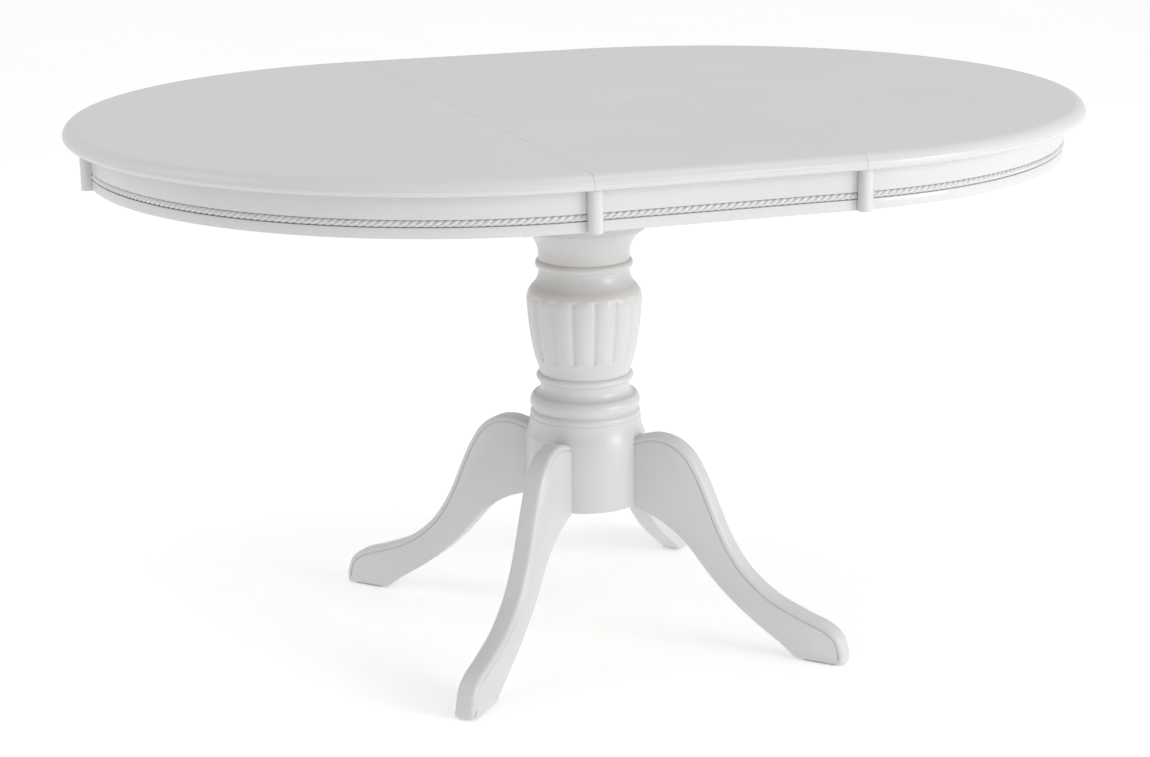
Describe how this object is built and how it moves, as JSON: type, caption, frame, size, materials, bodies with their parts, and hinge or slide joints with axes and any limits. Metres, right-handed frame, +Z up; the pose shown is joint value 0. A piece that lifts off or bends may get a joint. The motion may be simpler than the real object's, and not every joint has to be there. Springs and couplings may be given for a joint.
{
  "type": "extending pedestal table",
  "caption": "White pedestal dining table: two sliding round halves over a fold-away butterfly leaf, twist-moulded apron, reeded turned column and S-curved legs.",
  "frame": {"origin": "on the floor, on the axis of the column, with the table drawn open", "axes": "+X the way the right half is drawn, +Y from the front to the back, +Z up"},
  "size_m": [1.4098, 1.06, 0.76],
  "materials": {
    "white_lacquer": "white satin lacquer",
    "beech": "planed, oiled",
    "plywood": "sanded birch plywood",
    "steel": "zinc plated",
    "brass": "brushed",
    "nylon": "moulded",
    "felt_plastic": "matte"
  },
  "bodies": {
    "pedestal": {"column": "white_lacquer", "leg_front_left": "white_lacquer", "leg_front_right": "white_lacquer", "leg_rear_left": "white_lacquer", "leg_rear_right": "white_lacquer", "foot_glides": "felt_plastic", "leg_bolts": "steel", "barrel_nuts": "steel", "base_cover": "plywood", "top_plate": "plywood", "plate_screws": "steel", "bearer_left": "beech", "bearer_right": "beech", "bearer_screws": "steel", "riser_blocks": "beech", "pivot_bolts": "steel", "fixed_runner_front": "beech", "fixed_runner_rear": "beech", "pinion_bolts": "steel"},
    "front_pinion": {"pinion_front": "nylon"},
    "rear_pinion": {"pinion_rear": "nylon"},
    "front_arms": {"swing_arms_front": "steel"},
    "rear_arms": {"swing_arms_rear": "steel"},
    "front_leaf": {"front_wing": "white_lacquer", "front_fold_hinges": "brass", "front_apron_hinges": "brass", "front_lock_keeper": "steel", "wing_brackets": "steel"},
    "rear_leaf": {"rear_wing": "white_lacquer", "rear_fold_hinges": "brass", "rear_apron_hinges": "brass", "rear_lock_keeper": "steel"},
    "front_leaf_skirt": {"front_leaf_apron": "white_lacquer", "front_leaf_twist": "white_lacquer", "front_leaf_block": "white_lacquer"},
    "rear_leaf_skirt": {"rear_leaf_apron": "white_lacquer", "rear_leaf_twist": "white_lacquer", "rear_leaf_block": "white_lacquer"},
    "left_half": {"left_top": "white_lacquer", "left_apron": "white_lacquer", "left_twist_moulding": "white_lacquer", "left_apron_blocks": "white_lacquer", "left_runner_front": "beech", "left_runner_rear": "beech", "left_racks": "nylon", "left_glue_blocks": "beech", "left_top_screws": "steel", "left_lock_pivot": "steel"},
    "left_lock": {"left_lock_lever": "steel"},
    "right_half": {"right_top": "white_lacquer", "right_apron": "white_lacquer", "right_twist_moulding": "white_lacquer", "right_apron_blocks": "white_lacquer", "right_runner_front": "beech", "right_runner_rear": "beech", "right_racks": "nylon", "right_glue_blocks": "beech", "right_top_screws": "steel", "right_lock_pivot": "steel"},
    "right_lock": {"right_lock_lever": "steel"}
  },
  "joints": [
    {"name": "left_draw", "type": "slide", "parent": "pedestal", "child": "left_half", "axis": [-1, 0, 0], "range_m": [0, 0.05]},
    {"name": "right_draw", "type": "slide", "parent": "pedestal", "child": "right_half", "axis": [1, 0, 0], "range_m": [0, 0.05]},
    {"name": "front_pinion_spin", "type": "hinge", "parent": "pedestal", "child": "front_pinion", "pos_m": [0, -0.326, 0.686], "axis": [0, 0, 1], "range_deg": [0, 180]},
    {"name": "rear_pinion_spin", "type": "hinge", "parent": "pedestal", "child": "rear_pinion", "pos_m": [0, 0.326, 0.686], "axis": [0, 0, -1], "range_deg": [0, 180]},
    {"name": "left_lock_turn", "type": "hinge", "parent": "left_half", "child": "left_lock", "pos_m": [-0.2, -0.385, 0.732], "axis": [0, 0, 1], "range_deg": [0, 90]},
    {"name": "right_lock_turn", "type": "hinge", "parent": "right_half", "child": "right_lock", "pos_m": [0.2, 0.385, 0.732], "axis": [0, 0, 1], "range_deg": [0, 90]},
    {"name": "leaf_stow", "type": "hinge", "parent": "pedestal", "child": "front_arms", "pos_m": [0, -0.15214, 0.632], "axis": [-1, 0, 0], "range_deg": [0, 129.14]},
    {"name": "rear_arms_swing", "type": "hinge", "parent": "pedestal", "child": "rear_arms", "pos_m": [0, -0.01214, 0.632], "axis": [-1, 0, 0], "range_deg": [0, 129.14]},
    {"name": "front_leaf_level", "type": "hinge", "parent": "front_arms", "child": "front_leaf", "pos_m": [0, -0.268, 0.73], "axis": [1, 0, 0], "range_deg": [0, 129.14]},
    {"name": "leaf_fold", "type": "hinge", "parent": "front_leaf", "child": "rear_leaf", "pos_m": [0, 0, 0.7605], "axis": [1, 0, 0], "range_deg": [0, 180]},
    {"name": "front_skirt_fold", "type": "hinge", "parent": "front_leaf", "child": "front_leaf_skirt", "pos_m": [0, -0.4867, 0.7395], "axis": [1, 0, 0], "range_deg": [0, 90]},
    {"name": "rear_skirt_fold", "type": "hinge", "parent": "rear_leaf", "child": "rear_leaf_skirt", "pos_m": [0, 0.4867, 0.7395], "axis": [-1, 0, 0], "range_deg": [0, 90]}
  ],
  "couplings": [
    {"joint": "right_draw", "follows": "left_draw", "ratio": 1},
    {"joint": "front_pinion_spin", "follows": "left_draw", "rad_per_m": 62.5},
    {"joint": "rear_pinion_spin", "follows": "left_draw", "rad_per_m": 62.5},
    {"joint": "rear_arms_swing", "follows": "leaf_stow", "ratio": 1},
    {"joint": "front_leaf_level", "follows": "leaf_stow", "ratio": 1},
    {"joint": "leaf_fold", "follows": "leaf_stow", "ratio": 1.3938},
    {"joint": "front_skirt_fold", "follows": "leaf_stow", "ratio": 0.6969},
    {"joint": "rear_skirt_fold", "follows": "leaf_stow", "ratio": 0.6969}
  ]
}
